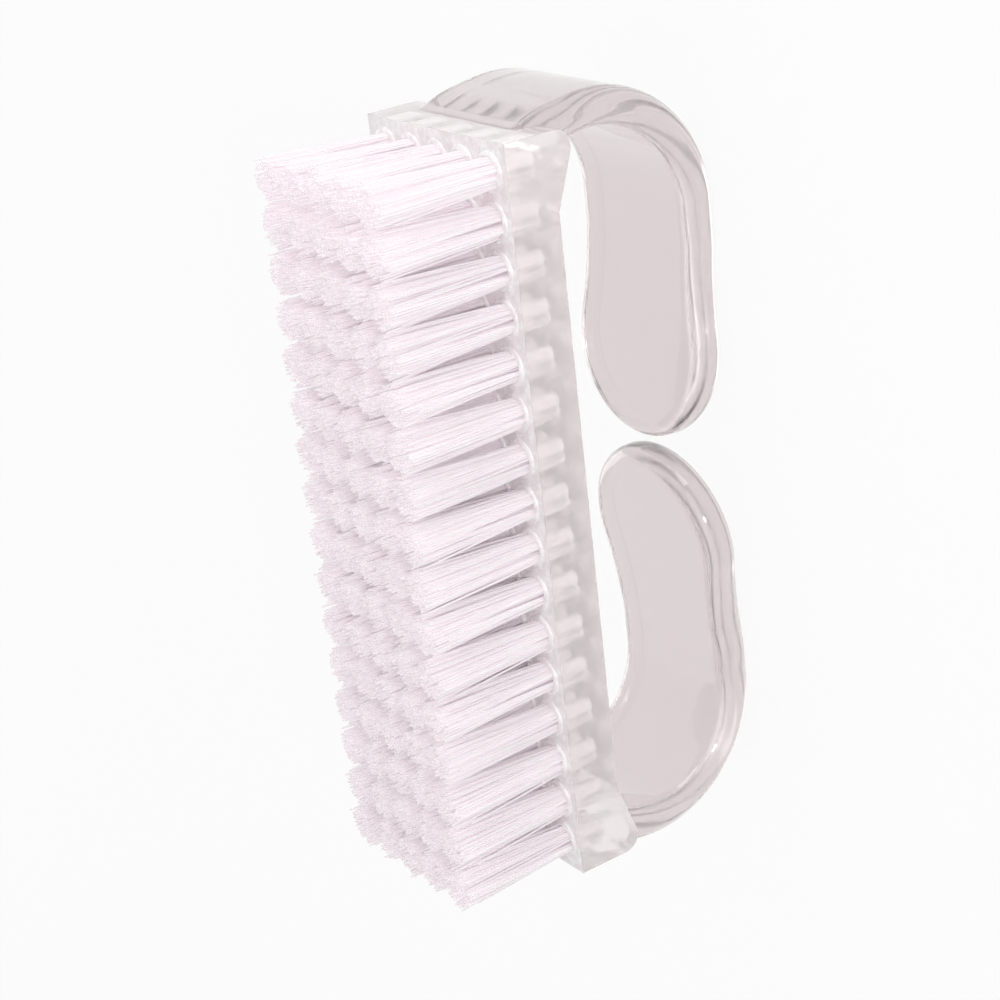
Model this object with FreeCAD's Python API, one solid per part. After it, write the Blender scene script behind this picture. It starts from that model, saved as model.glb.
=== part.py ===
import FreeCAD, Part
import math
import os

# Nail brush, in millimetres. A clear moulded block carries 80 bristle tufts, each folded round a flat
# metal anchor in its own hole, and two bent arms on the back of the block are the handle.
# X is the length and Y the width. Z points from the handle to the bristle tips. The brush lies on the
# flat backs of its arms with the bristles up, and the origin is under the middle of it.

# Bristle field
ROW_COUNT = 16
COLUMN_COUNT = 5
ROW_PITCH = 5.4
COLUMN_PITCH = 5.0
END_MARGIN = 3.5
SIDE_MARGIN = 3.25

# Block
BLOCK_THICKNESS = 6.0
CORNER_ROUND = 1.2
FACE_ROUND = 0.5
END_RISE = 3.4
RAMP_LENGTH = 9.4
RAMP_ROUND = 5.0
END_ROUND = 2.2

# Tuft holes, tufts and anchors
HOLE_WIDTH = 3.3
FLOOR_THICKNESS = 1.6
TUFT_CLEARANCE = 0.05
TUFT_FREE_LENGTH = 16.0
TUFT_TIP_GAP = 0.9
TUFT_SIDES = 10
FOLD_HEIGHT = 0.6
ANCHOR_THICKNESS = 0.4
ANCHOR_HEIGHT = 1.8
ANCHOR_BITE = 0.1
ANCHOR_CLEARANCE = 0.05

# Handle arms
HANDLE_HEIGHT = 24.3
ARM_THICKNESS = 4.4
ARM_ROOT_WIDTH = 20.6
ARM_TIP_RADIUS = 11.5
ARM_EDGE_BEVEL = 1.1
END_BULGE = 2.35
ROOT_LEAN = math.radians(8.9)
ROOT_RUN = 8.3
ROOT_LAP = 1.5
ROOT_ROUND = 2.4
ROOT_FILLET = 2.5
FOOT_LENGTH = 3.0
TIP_LEAN = math.radians(6.2)
TIP_BEND = 30.0
TIP_GAP = 1.7

# Points nearer than this are one point
TOUCHING = 1e-6

# Places worked out from the sizes above
BLOCK_LENGTH = (ROW_COUNT - 1) * ROW_PITCH + 2 * END_MARGIN
BLOCK_WIDTH = (COLUMN_COUNT - 1) * COLUMN_PITCH + 2 * SIDE_MARGIN
END_X = BLOCK_LENGTH / 2
BACK_Z = HANDLE_HEIGHT
FACE_Z = BACK_Z + BLOCK_THICKNESS
HOLE_FLOOR_Z = BACK_Z + FLOOR_THICKNESS
TUFT_TIP_Z = FACE_Z + TUFT_FREE_LENGTH
TUFT_TIP_WIDTH = min(ROW_PITCH, COLUMN_PITCH) - TUFT_TIP_GAP
BEND_RADIUS = HANDLE_HEIGHT - ROOT_RUN
BULGE_X = END_X + END_BULGE
BEND_X = BULGE_X - BEND_RADIUS
FOOT_X = BEND_X - FOOT_LENGTH
FLAT_END_X = FOOT_X - TIP_BEND * math.sin(TIP_LEAN)
FLAT_END_Z = TIP_BEND * (1 - math.cos(TIP_LEAN))
RAMP_X = END_X - RAMP_LENGTH
ANCHOR_Z = HOLE_FLOOR_Z + FOLD_HEIGHT


def rounded_face(corners):
    """Flat face in the XZ plane. Each corner is (x, z, radius of its rounding)."""
    spots = []
    for i, (x, z, radius) in enumerate(corners):
        corner = FreeCAD.Vector(x, 0, z)
        if radius == 0:
            spots.append((corner, None, corner))
            continue
        before = corners[i - 1]
        after = corners[(i + 1) % len(corners)]
        to_before = (FreeCAD.Vector(before[0], 0, before[1]) - corner).normalize()
        to_after = (FreeCAD.Vector(after[0], 0, after[1]) - corner).normalize()
        half = to_before.getAngle(to_after) / 2
        setback = radius / math.tan(half)
        inward = (to_before + to_after).normalize()
        middle = corner + inward * (radius / math.sin(half) - radius)
        spots.append((corner + to_before * setback, middle, corner + to_after * setback))
    edges = []
    for i, (start, middle, end) in enumerate(spots):
        previous_end = spots[i - 1][2]
        if start.distanceToPoint(previous_end) > TOUCHING:
            edges.append(Part.makeLine(previous_end, start))
        if middle is not None:
            edges.append(Part.Arc(start, middle, end).toShape())
    return Part.Face(Part.Wire(edges))


def across(face, width):
    """Extrude an XZ face over a width that is centred on the middle plane."""
    slab = face.extrude(FreeCAD.Vector(0, width, 0))
    slab.translate(FreeCAD.Vector(0, -width / 2, 0))
    return slab


def block():
    """The block: flat bristle face, flat back, and ends that thicken towards the arms."""
    end_z = BACK_Z - END_RISE
    side = rounded_face([
        (-END_X, FACE_Z, 0),
        (END_X, FACE_Z, 0),
        (END_X, end_z, END_ROUND),
        (RAMP_X, BACK_Z, RAMP_ROUND),
        (-RAMP_X, BACK_Z, RAMP_ROUND),
        (-END_X, end_z, END_ROUND),
    ])
    plan = Part.makeBox(BLOCK_LENGTH, BLOCK_WIDTH, FACE_Z, FreeCAD.Vector(-END_X, -BLOCK_WIDTH / 2, 0))
    upright = [e for e in plan.Edges if abs(e.tangentAt(e.FirstParameter).z) > 0.5]
    plan = plan.makeFillet(CORNER_ROUND, upright)
    body = across(side, BLOCK_WIDTH).common(plan)
    rim = [e for e in body.Edges if min(v.Z for v in e.Vertexes) > FACE_Z - FACE_ROUND / 2]
    return body.makeFillet(FACE_ROUND, rim)


def root_x(height, radius):
    """X at a height on the leaning root of an arm, on the line that touches the bend of that radius."""
    return BEND_X + (radius - (height - BEND_RADIUS) * math.sin(ROOT_LEAN)) / math.cos(ROOT_LEAN)


def root_meets_ramp(radius):
    """Where the inner line of an arm's root crosses the ramp on the back of the block."""
    slope = END_RISE / RAMP_LENGTH
    lean = math.tan(ROOT_LEAN)
    x = (root_x(BACK_Z, radius) - lean * slope * RAMP_X) / (1 - lean * slope)
    return x, BACK_Z - (x - RAMP_X) * slope


def arm_side():
    """Side view of the arm at the +X end, from its root in the block to its flat end."""
    inner_bend = BEND_RADIUS - ARM_THICKNESS
    inner_tip_bend = TIP_BEND - ARM_THICKNESS
    outer_tip_x = FOOT_X - TIP_BEND * math.tan(TIP_LEAN / 2)
    inner_tip_x = FOOT_X - inner_tip_bend * math.tan(TIP_LEAN / 2)
    across_x = ARM_THICKNESS * math.sin(TIP_LEAN)
    across_z = ARM_THICKNESS * math.cos(TIP_LEAN)
    root_z = BACK_Z + ROOT_LAP
    root_inner_x, root_inner_z = root_meets_ramp(inner_bend)
    return rounded_face([
        (FLAT_END_X, FLAT_END_Z, 0),
        (outer_tip_x, 0, TIP_BEND),
        (root_x(0, BEND_RADIUS), 0, BEND_RADIUS),
        (root_x(root_z, BEND_RADIUS), root_z, ROOT_ROUND),
        (RAMP_X, FACE_Z - FACE_ROUND, 0),
        (RAMP_X, BACK_Z, 0),
        (root_inner_x, root_inner_z, ROOT_FILLET),
        (root_x(ARM_THICKNESS, inner_bend), ARM_THICKNESS, inner_bend),
        (inner_tip_x, ARM_THICKNESS, inner_tip_bend),
        (FLAT_END_X + across_x, FLAT_END_Z + across_z, 0),
    ])


def flat_end():
    """The flat end of the same arm: its sides spread in two hollow arcs that run into the round tip."""
    half = ARM_ROOT_WIDTH / 2
    middle_x = FLAT_END_X + ARM_THICKNESS / 2 * math.sin(TIP_LEAN)
    centre = (middle_x - TIP_GAP / 2) / math.cos(TIP_LEAN) - ARM_TIP_RADIUS
    hollow = (centre ** 2 + half ** 2 - ARM_TIP_RADIUS ** 2) / (2 * (ARM_TIP_RADIUS - half))
    turn = math.asin(centre / (hollow + ARM_TIP_RADIUS))
    side = [(hollow * math.sin(a), half + hollow * (1 - math.cos(a))) for a in (0, turn / 2, turn)]
    near = [FreeCAD.Vector(-s, -t, 0) for s, t in side]
    far = [FreeCAD.Vector(-s, t, 0) for s, t in side]
    tip = FreeCAD.Vector(-centre - ARM_TIP_RADIUS, 0, 0)
    outline = Part.Wire([
        Part.makeLine(far[0], near[0]),
        Part.Arc(near[0], near[1], near[2]).toShape(),
        Part.Arc(near[2], tip, far[2]).toShape(),
        Part.Arc(far[2], far[1], far[0]).toShape(),
    ])
    plate = Part.Face(outline).extrude(FreeCAD.Vector(0, 0, ARM_THICKNESS))
    plate.rotate(FreeCAD.Vector(0, 0, 0), FreeCAD.Vector(0, 1, 0), math.degrees(TIP_LEAN))
    plate.translate(FreeCAD.Vector(FLAT_END_X, 0, FLAT_END_Z))
    return plate


def arm():
    """One strap-like handle arm at the +X end, with all its long edges bevelled."""
    strap = across(arm_side(), ARM_ROOT_WIDTH).fuse(flat_end()).removeSplitter()
    return strap.makeChamfer(ARM_EDGE_BEVEL, long_edges(strap))


def is_side(face):
    """Whether a face of an arm is one of its narrow sides or its round tip."""
    if face.Surface.TypeId == "Part::GeomCylinder":
        return abs(face.Surface.Axis.z) > 0.5
    return abs(face.Surface.Axis.y) > 0.5


def long_edges(strap):
    """The edges of an arm between its broad faces and its sides, up to where it enters the block."""
    edges = [edge for face in strap.Faces if is_side(face) for edge in face.Edges]
    chosen = []
    for edge in edges:
        between_sides = sum(edge.isSame(other) for other in edges) > 1
        buried = edge.CenterOfMass.z > BACK_Z and edge.BoundBox.XMin < RAMP_X + ARM_EDGE_BEVEL
        if not between_sides and not buried:
            chosen.append(edge)
    return chosen


def tuft_places(row):
    """Centres of the tufts of one row, from the -Y side to the +Y side."""
    x = (row - (ROW_COUNT - 1) / 2) * ROW_PITCH
    return [(x, (column - (COLUMN_COUNT - 1) / 2) * COLUMN_PITCH) for column in range(COLUMN_COUNT)]


def ring(x, y, z, width):
    """Corners of a level many-sided outline of that width, with a flat side towards -Y and +Y."""
    radius = width / 2 / math.cos(math.pi / TUFT_SIDES)
    angles = [math.pi / 2 + (2 * k + 1) * math.pi / TUFT_SIDES for k in range(TUFT_SIDES)]
    return [FreeCAD.Vector(x + radius * math.cos(a), y + radius * math.sin(a), z) for a in angles]


def flat_face(corners):
    """Flat face with those corners."""
    return Part.Face(Part.makePolygon(corners + corners[:1]))


def hole(x, y):
    """One blind tuft hole, drawn a little past the bristle face. Like the tufts, it has few flat sides."""
    floor = flat_face(ring(x, y, HOLE_FLOOR_Z, HOLE_WIDTH))
    return floor.extrude(FreeCAD.Vector(0, 0, FACE_Z + FACE_ROUND - HOLE_FLOOR_Z))


def handle_block():
    """The clear moulding: block and both arms in one piece, with its tuft holes."""
    right_arm = arm()
    left_arm = right_arm.mirror(FreeCAD.Vector(0, 0, 0), FreeCAD.Vector(1, 0, 0))
    moulding = block().fuse([right_arm, left_arm]).removeSplitter()
    drills = [hole(x, y) for row in range(ROW_COUNT) for x, y in tuft_places(row)]
    return moulding.cut(Part.makeCompound(drills))


def tuft(x, y):
    """One tuft from the floor of its hole to its trimmed tip, with the window that its anchor sits in."""
    root_width = HOLE_WIDTH - 2 * TUFT_CLEARANCE
    rings = [
        ring(x, y, HOLE_FLOOR_Z, root_width),
        ring(x, y, FACE_Z, root_width),
        ring(x, y, TUFT_TIP_Z, TUFT_TIP_WIDTH),
    ]
    faces = [flat_face(rings[0]), flat_face(rings[-1])]
    for lower, upper in zip(rings, rings[1:]):
        for k in range(TUFT_SIDES):
            faces.append(flat_face([lower[k - 1], lower[k], upper[k], upper[k - 1]]))
    bundle = Part.makeSolid(Part.makeShell(faces))
    wide = ANCHOR_THICKNESS + 2 * ANCHOR_CLEARANCE
    corner = FreeCAD.Vector(x - wide / 2, y - HOLE_WIDTH, ANCHOR_Z)
    window = Part.makeBox(wide, 2 * HOLE_WIDTH, ANCHOR_HEIGHT + ANCHOR_CLEARANCE, corner)
    return bundle.cut(window)


def anchor(x, y):
    """One flat metal anchor, whose two ends bite into the wall of the hole."""
    width = HOLE_WIDTH + 2 * ANCHOR_BITE
    corner = FreeCAD.Vector(x - ANCHOR_THICKNESS / 2, y - width / 2, ANCHOR_Z)
    return Part.makeBox(ANCHOR_THICKNESS, width, ANCHOR_HEIGHT, corner)


def save(name, shape):
    shape.exportStep(os.path.join("parts", name + ".step"))


os.makedirs("parts", exist_ok=True)
save("handle_block", handle_block())
for row in range(ROW_COUNT):
    places = tuft_places(row)
    save("tuft_row_%02d" % (row + 1), Part.makeCompound([tuft(x, y) for x, y in places]))
    save("anchor_row_%02d" % (row + 1), Part.makeCompound([anchor(x, y) for x, y in places]))
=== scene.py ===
"""Nail brush: a clear moulded block with two bent handle arms and 80 tufts of white nylon filament."""

import math
import random

import bpy
from bpy.props import FloatProperty, FloatVectorProperty, IntProperty, PointerProperty
from mathutils import Matrix, Vector


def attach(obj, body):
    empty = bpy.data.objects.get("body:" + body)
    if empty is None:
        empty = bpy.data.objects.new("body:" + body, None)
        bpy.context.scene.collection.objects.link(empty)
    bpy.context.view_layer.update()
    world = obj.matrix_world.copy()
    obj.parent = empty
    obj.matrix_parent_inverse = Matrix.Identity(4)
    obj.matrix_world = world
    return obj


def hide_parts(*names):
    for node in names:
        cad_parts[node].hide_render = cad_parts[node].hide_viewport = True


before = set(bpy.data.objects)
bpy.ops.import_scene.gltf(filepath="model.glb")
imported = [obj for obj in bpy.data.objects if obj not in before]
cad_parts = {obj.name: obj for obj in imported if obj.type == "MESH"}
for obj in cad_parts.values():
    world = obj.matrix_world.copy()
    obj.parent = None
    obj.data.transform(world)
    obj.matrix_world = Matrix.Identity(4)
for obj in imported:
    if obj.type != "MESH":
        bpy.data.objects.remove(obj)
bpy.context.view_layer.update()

bl_info = {
    "name": "Nail brush",
    "version": (1, 0, 0),
    "blender": (4, 5, 0),
    "location": "View3D > Sidebar > Nail brush",
    "description": "Models a clear nail brush with a two-armed handle and its studio",
    "category": "Mesh",
}

ROOT = "root"
MM = 0.001
ROW_COUNT = 16
COLUMN_COUNT = 5
NEAR = 1e-6
NEAR_DIGITS = 6

# How many steps each rounded or bent surface is made in
EDGE_STEPS = 5
RAMP_STEPS = 6
END_STEPS = 8
TIP_STEPS = 28
HOLLOW_STEPS = 8
ARM_EDGE_STEPS = 6
BEND_STEPS = 30
SLIGHT_STEPS = 4
EASE_STEPS = 8
PATH_PARTS = 4
PATH_STEPS = 24
HOLE_SIDES = 32
HOLE_FLOOR_STEPS = 4
RIM_STEPS = 28
RIM_SIDES = 8
FILAMENT_SIDES = 5

FILAMENT_SHAPES = 8
MAIN_EVERY = 16
HANDLE_SMOOTH = math.radians(32)
NYLON_SMOOTH = math.radians(65)

PLASTIC_IOR = 1.45
NYLON_IOR = 1.53
WHITE = (1, 1, 1, 1)

# Each light: its name, place, size and the property with its power
LAMPS = (
    ("key_light", (0.22, -0.42, 0.34), 0.5, "key_power"),
    ("bristle_light", (-0.1, -0.1, 0.55), 0.4, "fill_power"),
    ("end_light", (0.5, -0.08, 0.12), 0.3, "end_power"),
    ("back_light", (-0.05, 0.5, 0.1), 0.3, "back_power"),
    ("sparkle_light", (0.1, -0.36, 0.2), 0.03, "sparkle_power"),
)
LAMP_TARGET = (0, 0, 0.024)
BOUNCES = {"max_bounces": 24, "diffuse_bounces": 10, "glossy_bounces": 8, "transmission_bounces": 20}
FLOOR_SIZE = 12
FLOOR_WHITENESS = 0.9
CAMERA_PLACE = (0.098269, -0.202008, 0.158259)
CAMERA_TURN = (-0.542097, 0.942774, -1.755300)
SENSOR_WIDTH = 36
CLIP_START = 0.01


class BrushHandleSizes(bpy.types.PropertyGroup):
    """Sizes of the clear block and of its two handle arms."""

    block_length: FloatProperty(
        name="Block length", description="Length of the block", default=88.0 * MM, unit="LENGTH")
    block_width: FloatProperty(
        name="Block width", description="Width of the block", default=26.5 * MM, unit="LENGTH")
    back_height: FloatProperty(
        name="Back height", description="Height of the block's back over the floor",
        default=24.3 * MM, unit="LENGTH")
    block_thickness: FloatProperty(
        name="Block thickness", description="Thickness of the block in its middle",
        default=6.0 * MM, unit="LENGTH")
    end_rise: FloatProperty(
        name="End rise", description="How much thicker the block is at its ends",
        default=3.4 * MM, unit="LENGTH")
    ramp_length: FloatProperty(
        name="Ramp length", description="Length over which the block thickens",
        default=9.4 * MM, unit="LENGTH")
    ramp_round: FloatProperty(
        name="Ramp rounding", description="Radius where the ramp starts", default=5.0 * MM, unit="LENGTH")
    end_round: FloatProperty(
        name="End rounding", description="Radius under the block's ends", default=2.2 * MM, unit="LENGTH")
    corner_round: FloatProperty(
        name="Corner rounding", description="Radius of the block's corners", default=1.2 * MM, unit="LENGTH")
    face_round: FloatProperty(
        name="Face rounding", description="Radius round the bristle face", default=0.8 * MM, unit="LENGTH")
    hole_width: FloatProperty(
        name="Hole width", description="Width of a tuft hole", default=3.3 * MM, unit="LENGTH")
    hole_depth: FloatProperty(
        name="Hole depth", description="Depth of a tuft hole", default=4.4 * MM, unit="LENGTH")
    arm_thickness: FloatProperty(
        name="Arm thickness", description="Thickness of a handle arm", default=4.4 * MM, unit="LENGTH")
    arm_width: FloatProperty(
        name="Arm width", description="Width of a handle arm up to its flat end",
        default=20.6 * MM, unit="LENGTH")
    tip_radius: FloatProperty(
        name="Tip radius", description="Radius of an arm's round tip", default=11.5 * MM, unit="LENGTH")
    tip_gap: FloatProperty(
        name="Tip gap", description="Gap between the two tips", default=1.7 * MM, unit="LENGTH")
    arm_edge_round: FloatProperty(
        name="Arm edge rounding", description="Radius along an arm's edges", default=1.9 * MM, unit="LENGTH")
    root_lap: FloatProperty(
        name="Root lap", description="How far an arm rises past the block's back",
        default=4.4 * MM, unit="LENGTH")
    root_ease: FloatProperty(
        name="Root ease", description="How far an arm's outside draws in at its root",
        default=1.2 * MM, unit="LENGTH")
    ease_length: FloatProperty(
        name="Ease length", description="Length over which an arm's outside draws in",
        default=7.0 * MM, unit="LENGTH")
    root_lean: FloatProperty(
        name="Root lean", description="Lean of an arm where it leaves the block",
        default=math.radians(8.9), subtype="ANGLE")
    bend_radius: FloatProperty(
        name="Bend radius", description="Outer radius of an arm's bend", default=16.0 * MM, unit="LENGTH")
    end_bulge: FloatProperty(
        name="End bulge", description="How far an arm stands out past the block",
        default=2.35 * MM, unit="LENGTH")
    foot_length: FloatProperty(
        name="Foot length", description="Flat part that the brush rests on", default=3.0 * MM, unit="LENGTH")
    tip_bend: FloatProperty(
        name="Tip bend", description="Radius of the slight bend before the flat end",
        default=30.0 * MM, unit="LENGTH")
    tip_lean: FloatProperty(
        name="Tip lean", description="Lean of the flat end", default=math.radians(6.2), subtype="ANGLE")


class BrushTuftSizes(bpy.types.PropertyGroup):
    """Sizes of the tufts and of their nylon filaments."""

    row_pitch: FloatProperty(
        name="Row pitch", description="Distance between rows", default=5.4 * MM, unit="LENGTH")
    column_pitch: FloatProperty(
        name="Column pitch", description="Distance between columns", default=5.0 * MM, unit="LENGTH")
    filaments: IntProperty(
        name="Filaments", description="Filaments in one tuft", default=180, min=10, max=250)
    filament_radius: FloatProperty(
        name="Filament radius", description="Radius of one filament", default=0.115 * MM, unit="LENGTH")
    free_length: FloatProperty(
        name="Free length", description="Length of a tuft out of its hole", default=16.0 * MM, unit="LENGTH")
    root_radius: FloatProperty(
        name="Root radius", description="Radius of a tuft at the floor of its hole",
        default=1.44 * MM, unit="LENGTH")
    tip_radius: FloatProperty(
        name="Tip radius", description="Radius of a tuft at its trimmed tip",
        default=2.4 * MM, unit="LENGTH")
    tip_spread: FloatProperty(
        name="Tip spread", description="How much wider a trimmed tip is along its row", default=1.06)
    raggedness: FloatProperty(
        name="Raggedness", description="Spread of the filaments' lengths",
        default=0.45 * MM, unit="LENGTH")
    patterns: IntProperty(
        name="Patterns", description="Different tufts that the rows are made up from",
        default=5, min=1, max=12)
    seed: IntProperty(name="Seed", description="Start of the random numbers", default=7)


class BrushFinishes(bpy.types.PropertyGroup):
    """Colours and finishes."""

    # Painted light: one clear plastic in two tints, the arms' darker to stand in for a grey-pink backdrop
    # seen through them, the block's near white to stand in for light from the white tufts inside it
    arm_tint_painted_backdrop: FloatVectorProperty(
        name="Clear arms", description="Colour seen through the arms",
        subtype="COLOR", size=4, default=(0.71, 0.635, 0.645, 1.0))
    block_tint_painted_light: FloatVectorProperty(
        name="Clear block", description="Colour seen through the block",
        subtype="COLOR", size=4, default=(0.985, 0.94, 0.945, 1.0))
    frosted: FloatVectorProperty(
        name="Frosted wall", description="Colour of the drilled hole walls",
        subtype="COLOR", size=4, default=(0.84, 0.79, 0.8, 1.0))
    # Painted highlight: near white that stands in for glints and bright reflections round the tuft holes
    painted_highlight: FloatVectorProperty(
        name="Whitened plastic", description="Colour of the plastic stressed round the holes",
        subtype="COLOR", size=4, default=(1.0, 0.99, 0.99, 1.0))
    nylon: FloatVectorProperty(
        name="Nylon", description="Colour of the filaments",
        subtype="COLOR", size=4, default=(0.95, 0.905, 0.925, 1.0))
    nylon_shade: FloatVectorProperty(
        name="Nylon shade", description="Colour of the duller filaments",
        subtype="COLOR", size=4, default=(0.91, 0.87, 0.89, 1.0))
    metal: FloatVectorProperty(
        name="Metal", description="Colour of the anchors",
        subtype="COLOR", size=4, default=(0.78, 0.77, 0.75, 1.0))
    metal_dark: FloatVectorProperty(
        name="Metal drawing lines", description="Colour of the drawing lines on the anchors",
        subtype="COLOR", size=4, default=(0.62, 0.61, 0.6, 1.0))
    floor: FloatVectorProperty(
        name="Floor", description="Colour of the floor",
        subtype="COLOR", size=4, default=(0.9, 0.9, 0.9, 1.0))


class BrushStudio(bpy.types.PropertyGroup):
    """Lights and camera."""

    key_power: FloatProperty(
        name="Key light", description="Power of the large light on the near side",
        default=0.24, unit="POWER")
    fill_power: FloatProperty(
        name="Fill light", description="Power of the light over the bristles",
        default=0.06, unit="POWER")
    end_power: FloatProperty(
        name="End light", description="Power of the light at the upper end",
        default=0.75, unit="POWER")
    back_power: FloatProperty(
        name="Back light", description="Power of the large light behind the brush",
        default=0.3, unit="POWER")
    sparkle_power: FloatProperty(
        name="Sparkle light", description="Power of the small light near the camera",
        default=0.34, unit="POWER")
    sky: FloatProperty(
        name="Sky", description="Strength of the even light all round", default=0.58)
    focal_length: FloatProperty(
        name="Focal length", description="Focal length of the camera in millimetres", default=80.776)


def sizes():
    return bpy.context.scene.brush_handle


def tuft_sizes():
    return bpy.context.scene.brush_tufts


def finishes():
    return bpy.context.scene.brush_finishes


def studio():
    return bpy.context.scene.brush_studio


def only(piece):
    """Select one object alone and make it the active one."""
    bpy.ops.object.select_all(action="DESELECT")
    piece.select_set(True)
    bpy.context.view_layer.objects.active = piece


def place_in_mesh():
    """Put the place, turn and scale of what is selected into its mesh."""
    bpy.ops.object.transform_apply(location=True, rotation=True, scale=True)


def named(piece, name):
    """Name a piece and its mesh, with its place in its mesh."""
    piece.name = name
    piece.data.name = name
    place_in_mesh()
    return piece


def added(name):
    """Name the object that the last operator added."""
    return named(bpy.context.active_object, name)


def leave_edit(piece):
    """Leave edit mode, so that the mesh can be read."""
    bpy.ops.object.mode_set(mode="OBJECT")
    return piece.data


def edit_all():
    """Go to edit mode with the whole mesh selected."""
    bpy.ops.object.mode_set(mode="EDIT")
    bpy.ops.mesh.select_all(action="SELECT")


def pick_vertices(piece, test):
    """In edit mode, select the vertices whose place passes a test."""
    pick(piece, "VERT", [v.index for v in leave_edit(piece).vertices if test(v.co)])


def pick_edges(piece, test):
    """In edit mode, select the edges whose two ends both pass a test."""
    mesh = leave_edit(piece)
    ends = [(e.index, mesh.vertices[e.vertices[0]].co, mesh.vertices[e.vertices[1]].co) for e in mesh.edges]
    pick(piece, "EDGE", [index for index, a, b in ends if test(a, b)])


def pick_faces(piece, test):
    """In edit mode, select the faces whose centre and normal pass a test."""
    pick(piece, "FACE", [f.index for f in leave_edit(piece).polygons if test(f.center, f.normal)])


def pick(piece, kind, indices):
    """Select the vertices, edges or faces with those indices and go to edit mode."""
    bpy.ops.object.mode_set(mode="EDIT")
    bpy.ops.mesh.select_mode(type=kind)
    bpy.ops.mesh.select_all(action="DESELECT")
    mesh = leave_edit(piece)
    group = {"VERT": mesh.vertices, "EDGE": mesh.edges, "FACE": mesh.polygons}[kind]
    for index in indices:
        group[index].select = True
    bpy.ops.object.mode_set(mode="EDIT")


def paint_faces(piece, material, test):
    """Give the faces that pass a test one more material."""
    piece.data.materials.append(material)
    pick_faces(piece, test)
    piece.active_material_index = len(piece.data.materials) - 1
    bpy.ops.object.material_slot_assign()
    leave_edit(piece)


def cut_across(place, normal):
    """Bisect the whole of the active mesh with a plane."""
    edit_all()
    bpy.ops.mesh.bisect(plane_co=place, plane_no=normal)


def tidy_normals(piece):
    """Merge doubles and point all faces outwards."""
    only(piece)
    edit_all()
    bpy.ops.mesh.remove_doubles(threshold=NEAR)
    bpy.ops.mesh.normals_make_consistent(inside=False)
    leave_edit(piece)


def apply_modifier(piece, name, kind, **settings):
    """Add a modifier with those settings and apply it."""
    only(piece)
    modifier = piece.modifiers.new(name, kind)
    for key, value in settings.items():
        setattr(modifier, key, value)
    bpy.ops.object.modifier_apply(modifier=modifier.name)


def boolean(piece, other, operation):
    """Join or cut one piece with another, which is then removed."""
    apply_modifier(
        piece, operation.title(), "BOOLEAN",
        operation=operation, solver="EXACT", material_mode="TRANSFER", object=other)
    bpy.data.objects.remove(other)


def copy_of(piece, name):
    """A copy of a piece with its own mesh."""
    twin = piece.copy()
    twin.data = piece.data.copy()
    twin.name = name
    bpy.context.scene.collection.objects.link(twin)
    return twin


def joined(pieces, name):
    """Join pieces into one."""
    only(pieces[0])
    for piece in pieces:
        piece.select_set(True)
    bpy.ops.object.join()
    return named(pieces[0], name)


def tuft_places(row):
    """Centres of one row's tufts, from the near side to the far side."""
    t = tuft_sizes()
    x = (row - (ROW_COUNT - 1) / 2) * t.row_pitch
    return [(x, (column - (COLUMN_COUNT - 1) / 2) * t.column_pitch) for column in range(COLUMN_COUNT)]


def at_tufts(first, z, name):
    """Copies of a shape at every tuft, joined as one piece."""
    copies = []
    for row in range(ROW_COUNT):
        for x, y in tuft_places(row):
            twin = copy_of(first, name)
            twin.location = (x, y, z)
            copies.append(twin)
    bpy.data.objects.remove(first)
    return joined(copies, name)


def block():
    """The block, from a cube: thickened ends, rounded edges."""
    s = sizes()
    end, side = s.block_length / 2, s.block_width / 2
    back, face = s.back_height, s.back_height + s.block_thickness
    ramp = end - s.ramp_length
    slope = math.atan(s.end_rise / s.ramp_length)
    bpy.ops.object.select_all(action="DESELECT")
    bpy.ops.mesh.primitive_cube_add(
        size=1, location=(0, 0, (back + face) / 2), scale=(s.block_length, s.block_width, s.block_thickness))
    piece = added("clear_handle")
    cut_across((ramp, 0, 0), (1, 0, 0))
    cut_across((-ramp, 0, 0), (1, 0, 0))
    pick_vertices(piece, lambda p: abs(p.x) > end - NEAR and p.z < back + NEAR)
    bpy.ops.transform.translate(value=(0, 0, -s.end_rise))
    pick_edges(piece, lambda a, b: all(abs(abs(p.x) - ramp) < NEAR and p.z < back + NEAR for p in (a, b)))
    bpy.ops.mesh.bevel(offset=s.ramp_round * math.tan(slope / 2), segments=RAMP_STEPS, affect="EDGES")
    pick_edges(piece, lambda a, b: all(p.z < back - s.end_rise + NEAR for p in (a, b)))
    bpy.ops.mesh.bevel(
        offset=s.end_round / math.tan((math.pi / 2 - slope) / 2), segments=END_STEPS, affect="EDGES")
    pick_edges(piece, lambda a, b: all(p.z > face - NEAR for p in (a, b)) and (
        min(abs(a.x), abs(b.x)) > end - NEAR or min(abs(a.y), abs(b.y)) > side - NEAR))
    bpy.ops.transform.edge_bevelweight(value=s.face_round / s.corner_round)
    pick_edges(piece, lambda a, b: min(abs(a.y), abs(b.y)) > side - NEAR and (
        min(a.z, b.z) < face - NEAR) and abs(a.y - b.y) < NEAR and not (
        abs(a.x - b.x) < NEAR and abs(a.x) < end - NEAR))
    bpy.ops.transform.edge_bevelweight(value=1.0)
    leave_edit(piece)
    apply_modifier(
        piece, "Rounded edges", "BEVEL", limit_method="WEIGHT", width=s.corner_round, segments=EDGE_STEPS)
    tidy_normals(piece)
    return piece


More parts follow.
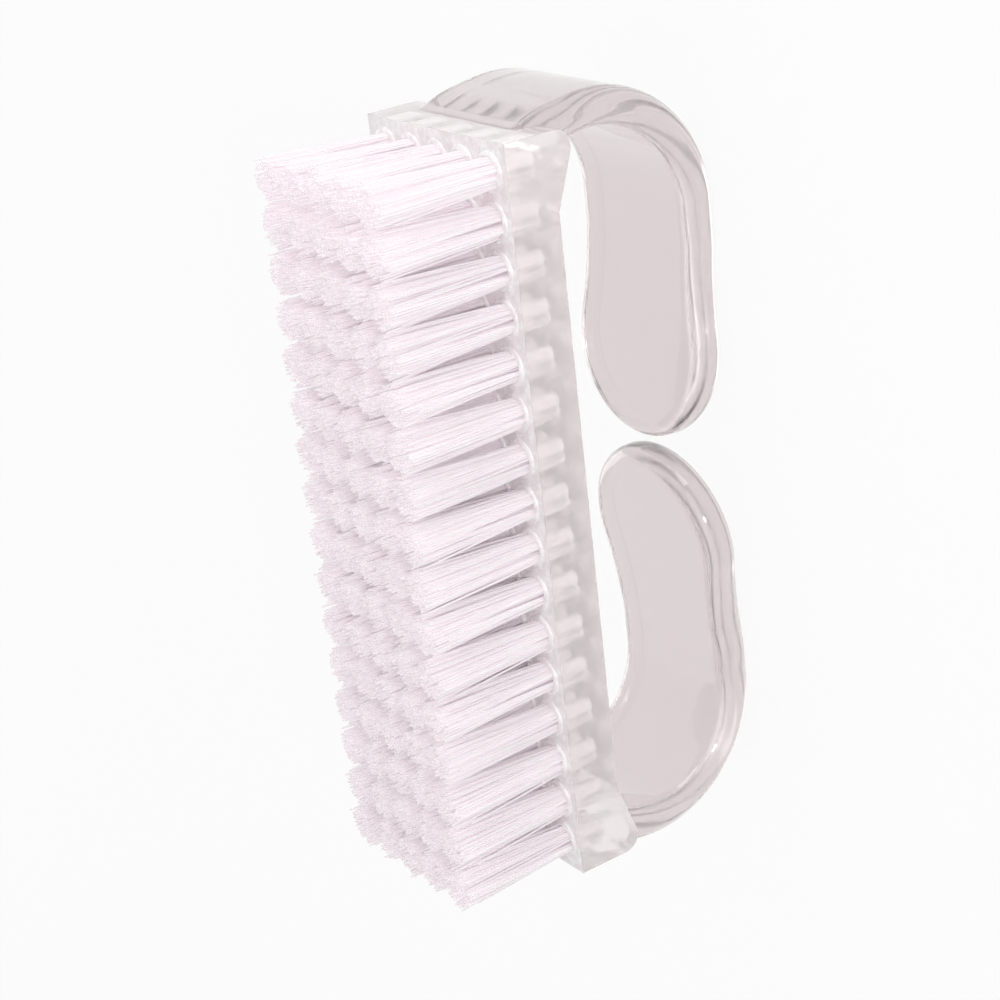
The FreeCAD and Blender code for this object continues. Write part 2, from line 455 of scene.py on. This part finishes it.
def arm_runs():
    """Lengths along the middle of an arm: root, bend, foot, slight bend and flat end."""
    s = sizes()
    middle = s.bend_radius - s.arm_thickness / 2
    top = s.back_height + s.root_lap - s.arm_thickness / 2 * math.sin(s.root_lean)
    root = (top - s.bend_radius - middle * math.sin(s.root_lean)) / math.cos(s.root_lean)
    bend = middle * (math.pi / 2 + s.root_lean)
    slight = (s.tip_bend - s.arm_thickness / 2) * s.tip_lean
    bend_x = s.block_length / 2 + s.end_bulge - s.bend_radius
    flat_x = bend_x - s.foot_length - (s.tip_bend - s.arm_thickness / 2) * math.sin(s.tip_lean)
    flat = (flat_x - s.tip_gap / 2) / math.cos(s.tip_lean)
    return root, bend, s.foot_length, slight, flat


def strap():
    """A handle arm laid out straight: X along it from root to tip, Y through it and Z over its width."""
    s = sizes()
    root, bend, foot, slight, flat = arm_runs()
    start = root + bend + foot + slight
    half = s.arm_width / 2
    centre = flat - s.tip_radius
    hollow = (centre ** 2 + half ** 2 - s.tip_radius ** 2) / (2 * (s.tip_radius - half))
    turn = math.asin(centre / (hollow + s.tip_radius))
    bpy.ops.object.select_all(action="DESELECT")
    bpy.ops.mesh.primitive_plane_add(size=1, location=(start + flat, 0, 0))
    piece = added("arm")
    bpy.ops.object.mode_set(mode="EDIT")
    bpy.ops.mesh.select_mode(type="VERT")
    bpy.ops.mesh.select_all(action="SELECT")
    bpy.ops.mesh.merge(type="CENTER")
    bpy.ops.mesh.spin(
        steps=TIP_STEPS, angle=math.pi / 2 + turn, center=(start + centre, 0, 0), axis=(0, 1, 0))
    bpy.ops.mesh.spin(steps=HOLLOW_STEPS, angle=-turn, center=(start, 0, half + hollow), axis=(0, 1, 0))
    bpy.ops.mesh.extrude_region_move(TRANSFORM_OT_translate={"value": (-start, 0, 0)})
    bpy.ops.mesh.extrude_region_move(TRANSFORM_OT_translate={"value": (0, 0, -half)})
    leave_edit(piece)
    apply_modifier(piece, "Other half", "MIRROR", use_axis=(False, False, True), merge_threshold=NEAR)
    edit_all()
    bpy.ops.transform.translate(value=(0, -s.arm_thickness / 2, 0))
    bpy.ops.mesh.edge_face_add()
    bpy.ops.mesh.extrude_region_move(TRANSFORM_OT_translate={"value": (0, s.arm_thickness, 0)})
    leave_edit(piece)
    tidy_normals(piece)
    pick_edges(piece, lambda a, b: abs(a.y - b.y) < NEAR)
    bpy.ops.mesh.bevel(offset=s.arm_edge_round, segments=ARM_EDGE_STEPS, affect="EDGES")
    stations = [root + bend * k / BEND_STEPS for k in range(BEND_STEPS + 1)]
    stations += [root + bend + foot + slight * k / SLIGHT_STEPS for k in range(SLIGHT_STEPS + 1)]
    stations += [s.ease_length * k / EASE_STEPS for k in range(1, EASE_STEPS + 1)]
    for station in stations:
        cut_across((station, 0, 0), (1, 0, 0))
    ease_root(piece)
    return piece


def ease_root(piece):
    """Draw the strap's outside in towards its root, so that the arm runs into the block's end."""
    s = sizes()
    vertices = leave_edit(piece).vertices
    places = {round(v.co.x, NEAR_DIGITS) for v in vertices if v.co.x < s.ease_length - NEAR}
    for place in sorted(places):
        share = 1 - place / s.ease_length
        thin = 1 - s.root_ease / s.arm_thickness * share ** 2 * (3 - 2 * share)
        pick_vertices(piece, lambda p: round(p.x, NEAR_DIGITS) == place)
        bpy.ops.transform.resize(value=(1, thin, 1), center_override=(0, -s.arm_thickness / 2, 0))
    leave_edit(piece)


def arc_reach(angle, radius):
    """Length of the handles that lay one piece of a curve along an arc."""
    return 4 / 3 * math.tan(angle / 4) * radius


def arm_path():
    """Middle line of the arm at the +X end, seen from the side, as a curve in the XY plane."""
    s = sizes()
    root, _, foot, _, flat = arm_runs()
    middle = s.bend_radius - s.arm_thickness / 2
    tip_middle = s.tip_bend - s.arm_thickness / 2
    centre = Vector((s.block_length / 2 + s.end_bulge - s.bend_radius, s.bend_radius, 0))
    turn = math.pi / 2 + s.root_lean
    points = []
    for k in range(PATH_PARTS + 1):
        angle = s.root_lean - turn * k / PATH_PARTS
        along = Vector((math.sin(angle), -math.cos(angle), 0))
        points.append((centre + Vector((math.cos(angle), math.sin(angle), 0)) * middle, along))
    bend_reach = arc_reach(turn / PATH_PARTS, middle)
    tip_reach = arc_reach(s.tip_lean, tip_middle)
    reach = [[bend_reach, bend_reach] for point in points]
    # The handles along a straight run are a third of its length
    points.insert(0, (points[0][0] - points[0][1] * root, points[0][1]))
    reach.insert(0, [root / 3, root / 3])
    reach[1][0] = root / 3
    points.append((points[-1][0] + points[-1][1] * foot, points[-1][1]))
    reach[-1][1] = foot / 3
    reach.append([foot / 3, tip_reach])
    along = Vector((-math.cos(s.tip_lean), math.sin(s.tip_lean), 0))
    step = Vector((-math.sin(s.tip_lean), 1 - math.cos(s.tip_lean), 0)) * tip_middle
    points.append((points[-1][0] + step, along))
    reach.append([tip_reach, flat / 3])
    points.append((points[-1][0] + along * flat, along))
    reach.append([flat / 3, flat / 3])
    bpy.ops.object.select_all(action="DESELECT")
    bpy.ops.curve.primitive_bezier_curve_add()
    path = bpy.context.active_object
    path.data.dimensions = "2D"
    path.data.resolution_u = PATH_STEPS
    spline = path.data.splines[0]
    spline.bezier_points.add(len(points) - len(spline.bezier_points))
    for knot, (place, along), (before, after) in zip(spline.bezier_points, points, reach):
        knot.handle_left_type = "FREE"
        knot.handle_right_type = "FREE"
        knot.co = place
        knot.handle_left = place - along * before
        knot.handle_right = place + along * after
    return path


def bent_arm():
    """The strap laid along the arm's path and turned upright."""
    piece = strap()
    path = arm_path()
    apply_modifier(piece, "Bend", "CURVE", object=path, deform_axis="POS_X")
    bpy.data.objects.remove(path)
    piece.rotation_euler = (math.pi / 2, 0, 0)
    place_in_mesh()
    tidy_normals(piece)
    return piece


def drill(wall, painted_highlight):
    """The shape of one tuft hole at the origin, with its floor at Z 0: a frosted wall with painted
    highlights towards the next rows and round the floor, and a flared mouth."""
    s = sizes()
    flare = 0.12 * MM
    floor_round = 0.7 * MM
    past = 0.6 * MM
    facing_rows = 0.75
    depth = s.hole_depth + past
    bpy.ops.object.select_all(action="DESELECT")
    bpy.ops.mesh.primitive_cylinder_add(
        vertices=HOLE_SIDES, radius=s.hole_width / 2, depth=depth, location=(0, 0, depth / 2))
    piece = added("drill")
    cut_across((0, 0, s.hole_depth - flare), (0, 0, 1))
    cut_across((0, 0, s.hole_depth), (0, 0, 1))
    pick_vertices(piece, lambda p: p.z > s.hole_depth - NEAR)
    wide = 1 + 2 * flare / s.hole_width
    bpy.ops.transform.resize(value=(wide, wide, 1))
    pick_edges(piece, lambda a, b: max(a.z, b.z) < NEAR)
    bpy.ops.mesh.bevel(offset=floor_round, segments=HOLE_FLOOR_STEPS, affect="EDGES")
    leave_edit(piece)
    piece.data.materials.append(wall)
    # Painted highlights on the wall faces towards the next rows and round the floor
    paint_faces(
        piece, painted_highlight, lambda centre, normal: abs(normal.x) > facing_rows or NEAR < centre.z < floor_round)
    return piece


def rim():
    """The low raised rim of one tuft hole, at the origin."""
    outside_hole = 0.35 * MM
    thickness = 0.42 * MM
    flatness = 0.7
    bpy.ops.object.select_all(action="DESELECT")
    bpy.ops.mesh.primitive_torus_add(
        major_segments=RIM_STEPS, minor_segments=RIM_SIDES,
        major_radius=sizes().hole_width / 2 + outside_hole, minor_radius=thickness)
    piece = added("rim")
    edit_all()
    bpy.ops.transform.resize(value=(1, 1, flatness))
    leave_edit(piece)
    return piece


class Finish:
    """A material in the making: its shader and the nodes that feed it."""

    def __init__(self, name):
        self.material = bpy.data.materials.new(name)
        self.material.use_nodes = True
        self.tree = self.material.node_tree
        self.shader = self.tree.nodes["Principled BSDF"]

    def fill(self, made, **inputs):
        """Set a node's inputs, each to a value or from another node's output."""
        for key, value in inputs.items():
            socket = made.inputs[key.replace("_", " ")]
            if isinstance(value, bpy.types.NodeSocket):
                self.tree.links.new(value, socket)
            else:
                socket.default_value = value

    def node(self, kind, **inputs):
        """Add a node and set its inputs."""
        made = self.tree.nodes.new(kind)
        self.fill(made, **inputs)
        return made

    def pattern(self, scale, detail):
        """A noise on the piece's own coordinates, stretched by a scale for each axis."""
        place = self.node("ShaderNodeTexCoord").outputs["Object"]
        mapped = self.node("ShaderNodeMapping", Vector=place, Scale=scale).outputs["Vector"]
        return self.node("ShaderNodeTexNoise", Vector=mapped, Scale=1.0, Detail=detail).outputs["Fac"]

    def spread(self, value, low, high):
        """Spread a noise value over a range."""
        made = self.node(
            "ShaderNodeMapRange", Value=value, From_Min=0.3, From_Max=0.7, To_Min=low, To_Max=high)
        return made.outputs["Result"]

    def blend(self, value, first, second):
        """Mix two colours by a noise value."""
        # The mix node's sockets for colours go by number
        first_colour, second_colour, mixed_colour = 6, 7, 2
        made = self.node("ShaderNodeMix")
        made.data_type = "RGBA"
        self.tree.links.new(self.spread(value, low=0.0, high=1.0), made.inputs["Factor"])
        made.inputs[first_colour].default_value = first
        made.inputs[second_colour].default_value = second
        return made.outputs[mixed_colour]

    def bump(self, height, strength, distance):
        """Low relief from a noise value."""
        made = self.node("ShaderNodeBump", Height=height, Strength=strength, Distance=distance)
        return made.outputs["Normal"]


def clear_plastic(name, tint_and_painted_light, clearness, smoothest, haziest):
    """Clear moulded plastic: tinted by a colour that also paints in the light seen through it, with soft
    flow marks and handling haze.
    """
    finish = Finish(name)
    haze = finish.pattern(scale=(260, 420, 420), detail=3.0)
    flow = finish.pattern(scale=(45, 260, 260), detail=2.0)
    finish.fill(
        finish.shader, Base_Color=tint_and_painted_light, Transmission_Weight=clearness, IOR=PLASTIC_IOR,
        Coat_Weight=0.6, Coat_Roughness=0.03,
        Roughness=finish.spread(haze, low=smoothest, high=haziest),
        Normal=finish.bump(flow, strength=0.25, distance=0.04 * MM))
    return finish.material


def frosted_wall():
    """The drilled wall of a tuft hole: the same plastic, frosted by the drill."""
    finish = Finish("frosted_wall")
    grain = finish.pattern(scale=(1800, 1800, 5200), detail=3.0)
    finish.fill(
        finish.shader, Base_Color=finishes().frosted, Transmission_Weight=0.2, IOR=PLASTIC_IOR,
        Roughness=finish.spread(grain, low=0.45, high=0.7),
        Normal=finish.bump(grain, strength=0.4, distance=0.02 * MM))
    return finish.material


def whitened_plastic():
    """Painted highlights: near-white spots that stand in for glints and bright reflections, round the mouth
    and floor of a hole.
    """
    finish = Finish("whitened_plastic")
    spots = finish.pattern(scale=(1100, 1100, 1100), detail=2.0)
    finish.fill(
        finish.shader, Base_Color=finish.blend(spots, finishes().frosted, finishes().painted_highlight),
        Roughness=finish.spread(spots, low=0.3, high=0.12))
    return finish.material


def white_nylon():
    """White nylon filament: each one a little brighter or duller, with a soft gloss."""
    finish = Finish("white_nylon")
    strand = finish.pattern(scale=(2600, 2600, 60), detail=2.0)
    gloss = finish.pattern(scale=(1500, 1500, 400), detail=1.0)
    finish.fill(
        finish.shader, Base_Color=finish.blend(strand, finishes().nylon_shade, finishes().nylon),
        Roughness=finish.spread(gloss, low=0.32, high=0.5), IOR=NYLON_IOR)
    return finish.material


def anchor_metal():
    """Flat drawn wire: fine drawing lines along each anchor."""
    finish = Finish("anchor_metal")
    lines = finish.pattern(scale=(9000, 120, 9000), detail=3.0)
    finish.fill(
        finish.shader, Base_Color=finish.blend(lines, finishes().metal_dark, finishes().metal),
        Metallic=1.0, Roughness=finish.spread(lines, low=0.28, high=0.45),
        Normal=finish.bump(lines, strength=0.3, distance=0.01 * MM))
    return finish.material


def dress(piece, slot, *nodes):
    """Give a finished piece its place in the frame."""
    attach(piece, ROOT)
    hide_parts(*nodes)


class BRUSH_OT_handle(bpy.types.Operator):
    """Model the clear block with its two bent arms and its tuft holes"""

    bl_idname = "brush.handle"
    bl_label = "Clear handle"

    def execute(self, context):
        piece = block()
        right = bent_arm()
        left = copy_of(right, "left_arm")
        left.scale = (-1, 1, 1)
        only(left)
        place_in_mesh()
        tidy_normals(left)
        face_z = sizes().back_height + sizes().block_thickness
        rims = at_tufts(rim(), face_z, "rims")
        # The arms' tint paints in a backdrop seen through them, the block's paints in light from the tufts
        clear = clear_plastic(
            "clear_plastic", finishes().arm_tint_painted_backdrop, clearness=1.0, smoothest=0.06, haziest=0.11)
        cloudy = clear_plastic(
            "cloudy_plastic", finishes().block_tint_painted_light, clearness=0.62, smoothest=0.06, haziest=0.14)
        # Painted highlights on the raised rims, the bristle face between the tufts and the hole walls
        painted_highlight = whitened_plastic()
        for part, plastic in ((piece, cloudy), (right, clear), (left, clear), (rims, painted_highlight)):
            part.data.materials.append(plastic)
        only(piece)
        facing_up = 0.99
        paint_faces(
            piece, painted_highlight, lambda centre, normal: centre.z > face_z - NEAR and normal.z > facing_up)
        holes = at_tufts(drill(frosted_wall(), painted_highlight), face_z - sizes().hole_depth, "drills")
        for part in (right, left, rims):
            boolean(piece, part, "UNION")
        boolean(piece, holes, "DIFFERENCE")
        only(piece)
        bpy.ops.object.shade_smooth_by_angle(angle=HANDLE_SMOOTH)
        apply_modifier(piece, "Even shading", "WEIGHTED_NORMAL", keep_sharp=True)
        dress(piece, "clear_plastic", "handle_block")
        # Clear plastic lets light through
        piece.visible_shadow = False
        return {"FINISHED"}


def filament(dice, length):
    """One nylon filament along Z with its root at the origin: a little bent, and narrowed at its tip."""
    t = tuft_sizes()
    most_sway = 0.16
    tip_width = 0.7
    middle, below_tip = length * 0.5, length * 0.985
    bpy.ops.object.select_all(action="DESELECT")
    bpy.ops.mesh.primitive_cylinder_add(
        vertices=FILAMENT_SIDES, radius=t.filament_radius, depth=length, end_fill_type="NGON",
        location=(0, 0, length / 2))
    piece = added("filament")
    for height in (middle, below_tip):
        cut_across((0, 0, height), (0, 0, 1))
    sway = Vector((dice.uniform(-1, 1), dice.uniform(-1, 1), 0)) * most_sway * MM
    for height, share in ((middle, 1.0), (below_tip, 0.1)):
        pick_vertices(piece, lambda p: abs(p.z - height) < NEAR)
        bpy.ops.transform.translate(value=sway * share)
    pick_vertices(piece, lambda p: p.z > length - NEAR)
    bpy.ops.transform.resize(value=(tip_width, tip_width, 1))
    leave_edit(piece)
    return piece


def tuft_pattern(dice, shapes, length):
    """One tuft at the origin: filaments on both sides of the anchor, spreading to a ragged trimmed tip.
    Its main filaments and the rest, which let light through, are two pieces."""
    t = tuft_sizes()
    golden = math.pi * (3 - math.sqrt(5))
    slot = 0.38 * MM
    jitter = 0.25
    whole_turn = 6.28
    # Lengths in millimetres, and shares of the filaments
    scatter = 0.12
    stray_share, stray = 0.09, (0.3, 0.7)
    short_share, short = 0.14, (0.5, 2.0)
    length_spread = 0.5
    dome_power = 4
    main, fine = [], []
    for i in range(t.filaments):
        ring = math.sqrt((i + 0.5) / t.filaments)
        angle = i * golden + dice.uniform(-jitter, jitter)
        outward = Vector((math.cos(angle), math.sin(angle), 0))
        root = outward * ring * t.root_radius
        root.x = math.copysign(slot + abs(root.x) * (1 - slot / t.root_radius), root.x)
        tip = outward * ring * t.tip_radius
        tip.y *= t.tip_spread
        tip += Vector((dice.gauss(0, 1), dice.gauss(0, 1), 0)) * scatter * MM
        if dice.random() < stray_share:
            tip += outward * dice.uniform(*stray) * MM
        dome = ring ** dome_power * t.raggedness
        tip.z = length - abs(dice.gauss(0, 1)) * t.raggedness * length_spread - dome
        if dice.random() < short_share:
            tip.z -= dice.uniform(*short) * MM
        along = tip - root
        lean = Vector((0, 0, 1)).rotation_difference(along).to_matrix().to_4x4()
        twin = copy_of(dice.choice(shapes), "strand")
        stretch = Matrix.Diagonal((1, 1, along.length / length, 1))
        turn = Matrix.Rotation(dice.uniform(0, whole_turn), 4, "Z")
        twin.matrix_world = Matrix.Translation(root) @ lean @ stretch @ turn
        (main if i % MAIN_EVERY == 0 else fine).append(twin)
    return joined(main, "tuft"), joined(fine, "tuft_fine")


class BRUSH_OT_tufts(bpy.types.Operator):
    """Model the rows of nylon tufts"""

    bl_idname = "brush.tufts"
    bl_label = "Nylon tufts"

    def execute(self, context):
        s, t = sizes(), tuft_sizes()
        dice = random.Random(t.seed)
        length = s.hole_depth + t.free_length
        floor_z = s.back_height + s.block_thickness - s.hole_depth
        shapes = [filament(dice, length) for k in range(FILAMENT_SHAPES)]
        patterns = [tuft_pattern(dice, shapes, length) for k in range(t.patterns)]
        material = white_nylon()
        for row in range(ROW_COUNT):
            node = "tuft_row_%02d" % (row + 1)
            places = tuft_places(row)
            choices = [(dice.choice(patterns), dice.choice((0, math.pi))) for place in places]
            for layer, name in enumerate(("nylon_row_%02d", "nylon_row_%02d_fine")):
                copies = []
                for (x, y), (pattern, turn) in zip(places, choices):
                    twin = copy_of(pattern[layer], "tuft")
                    twin.location = (x, y, floor_z)
                    twin.rotation_euler.z = turn
                    copies.append(twin)
                piece = joined(copies, name % (row + 1))
                bpy.ops.object.shade_smooth_by_angle(angle=NYLON_SMOOTH)
                piece.data.materials.append(material)
                # The filaments other than the main ones cast no shadow, so they let light through
                piece.visible_shadow = layer == 0
                dress(piece, "white_nylon", node)
        for part in shapes + [part for pattern in patterns for part in pattern]:
            bpy.data.objects.remove(part)
        return {"FINISHED"}


class BRUSH_OT_anchors(bpy.types.Operator):
    """Finish the metal anchors that hold the tufts"""

    bl_idname = "brush.anchors"
    bl_label = "Metal anchors"

    def execute(self, context):
        material = anchor_metal()
        for row in range(ROW_COUNT):
            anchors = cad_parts["anchor_row_%02d" % (row + 1)]
            for slot in anchors.material_slots:
                slot.material = material
        return {"FINISHED"}


def background_rays(tree):
    """A value of 1 for the rays that show the background, and 0 for those that only carry light."""
    path = tree.nodes.new("ShaderNodeLightPath")
    value = path.outputs["Is Camera Ray"]
    for name in ("Is Glossy Ray", "Is Transmission Ray"):
        most = tree.nodes.new("ShaderNodeMath")
        most.operation = "MAXIMUM"
        tree.links.new(value, most.inputs[0])
        tree.links.new(path.outputs[name], most.inputs[1])
        value = most.outputs[0]
    return value


def mix_into(tree, share, first, second, output):
    """Mix two shaders by a share into an output."""
    both = tree.nodes.new("ShaderNodeMixShader")
    tree.links.new(share, both.inputs[0])
    tree.links.new(first.outputs[0], both.inputs[1])
    tree.links.new(second.outputs[0], both.inputs[2])
    tree.links.new(both.outputs[0], tree.nodes[output].inputs["Surface"])


def add_light(name, place, size, power):
    """A square soft light at a place, turned to the brush."""
    bpy.ops.object.select_all(action="DESELECT")
    turn = (Vector(LAMP_TARGET) - Vector(place)).to_track_quat("-Z", "Y").to_euler()
    bpy.ops.object.light_add(type="AREA", location=place, rotation=turn)
    lamp = bpy.context.active_object
    lamp.name = name
    lamp.data.size = size
    lamp.data.energy = power


class BRUSH_OT_stage(bpy.types.Operator):
    """Set up the floor, the lights and the camera"""

    bl_idname = "brush.stage"
    bl_label = "Stage"

    def execute(self, context):
        scene = context.scene
        scene.view_settings.view_transform = "Standard"
        for kind, count in BOUNCES.items():
            setattr(scene.cycles, kind, count)
        self.floor()
        self.sky(scene)
        for name, place, size, power in LAMPS:
            add_light(name, place, size, getattr(studio(), power))
        bpy.ops.object.camera_add(location=CAMERA_PLACE, rotation=CAMERA_TURN)
        camera = context.active_object
        camera.data.sensor_width = SENSOR_WIDTH
        camera.data.lens = studio().focal_length
        camera.data.clip_start = CLIP_START
        scene.camera = camera
        return {"FINISHED"}

    def floor(self):
        """A wide pale floor that looks white and keeps a soft shadow."""
        bpy.ops.object.select_all(action="DESELECT")
        bpy.ops.mesh.primitive_plane_add(size=FLOOR_SIZE, location=(0, 0, 0))
        piece = added("floor")
        finish = Finish("pale_floor")
        finish.fill(finish.shader, Base_Color=finishes().floor, Roughness=0.8)
        glow = finish.node("ShaderNodeEmission", Color=WHITE, Strength=1.0)
        share = finish.node("ShaderNodeMath")
        share.operation = "MULTIPLY"
        finish.tree.links.new(background_rays(finish.tree), share.inputs[0])
        share.inputs[1].default_value = FLOOR_WHITENESS
        mix_into(finish.tree, share.outputs[0], finish.shader, glow, "Material Output")
        piece.data.materials.append(finish.material)

    def sky(self, scene):
        """Even light all round, with a white background."""
        world = bpy.data.worlds.new("studio")
        world.use_nodes = True
        scene.world = world
        tree = world.node_tree
        even = tree.nodes["Background"]
        white = tree.nodes.new("ShaderNodeBackground")
        for background, strength in ((even, studio().sky), (white, 1.0)):
            background.inputs["Color"].default_value = WHITE
            background.inputs["Strength"].default_value = strength
        mix_into(tree, background_rays(tree), even, white, "World Output")


class BRUSH_PT_panel(bpy.types.Panel):
    """The brush's steps"""

    bl_idname = "BRUSH_PT_panel"
    bl_label = "Nail brush"
    bl_space_type = "VIEW_3D"
    bl_region_type = "UI"
    bl_category = "Nail brush"

    def draw(self, context):
        for step in STEPS:
            self.layout.operator(step.bl_idname)


STEPS = (BRUSH_OT_handle, BRUSH_OT_tufts, BRUSH_OT_anchors, BRUSH_OT_stage)
GROUPS = (
    ("brush_handle", BrushHandleSizes),
    ("brush_tufts", BrushTuftSizes),
    ("brush_finishes", BrushFinishes),
    ("brush_studio", BrushStudio),
)


def register():
    for name, group in GROUPS:
        bpy.utils.register_class(group)
        setattr(bpy.types.Scene, name, PointerProperty(type=group))
    for step in STEPS:
        bpy.utils.register_class(step)
    bpy.utils.register_class(BRUSH_PT_panel)


def unregister():
    bpy.utils.unregister_class(BRUSH_PT_panel)
    for step in reversed(STEPS):
        bpy.utils.unregister_class(step)
    for name, group in reversed(GROUPS):
        delattr(bpy.types.Scene, name)
        bpy.utils.unregister_class(group)


def main():
    register()
    bpy.ops.brush.handle()
    bpy.ops.brush.tufts()
    bpy.ops.brush.anchors()
    bpy.ops.brush.stage()
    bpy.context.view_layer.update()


if __name__ == "__main__":
    main()
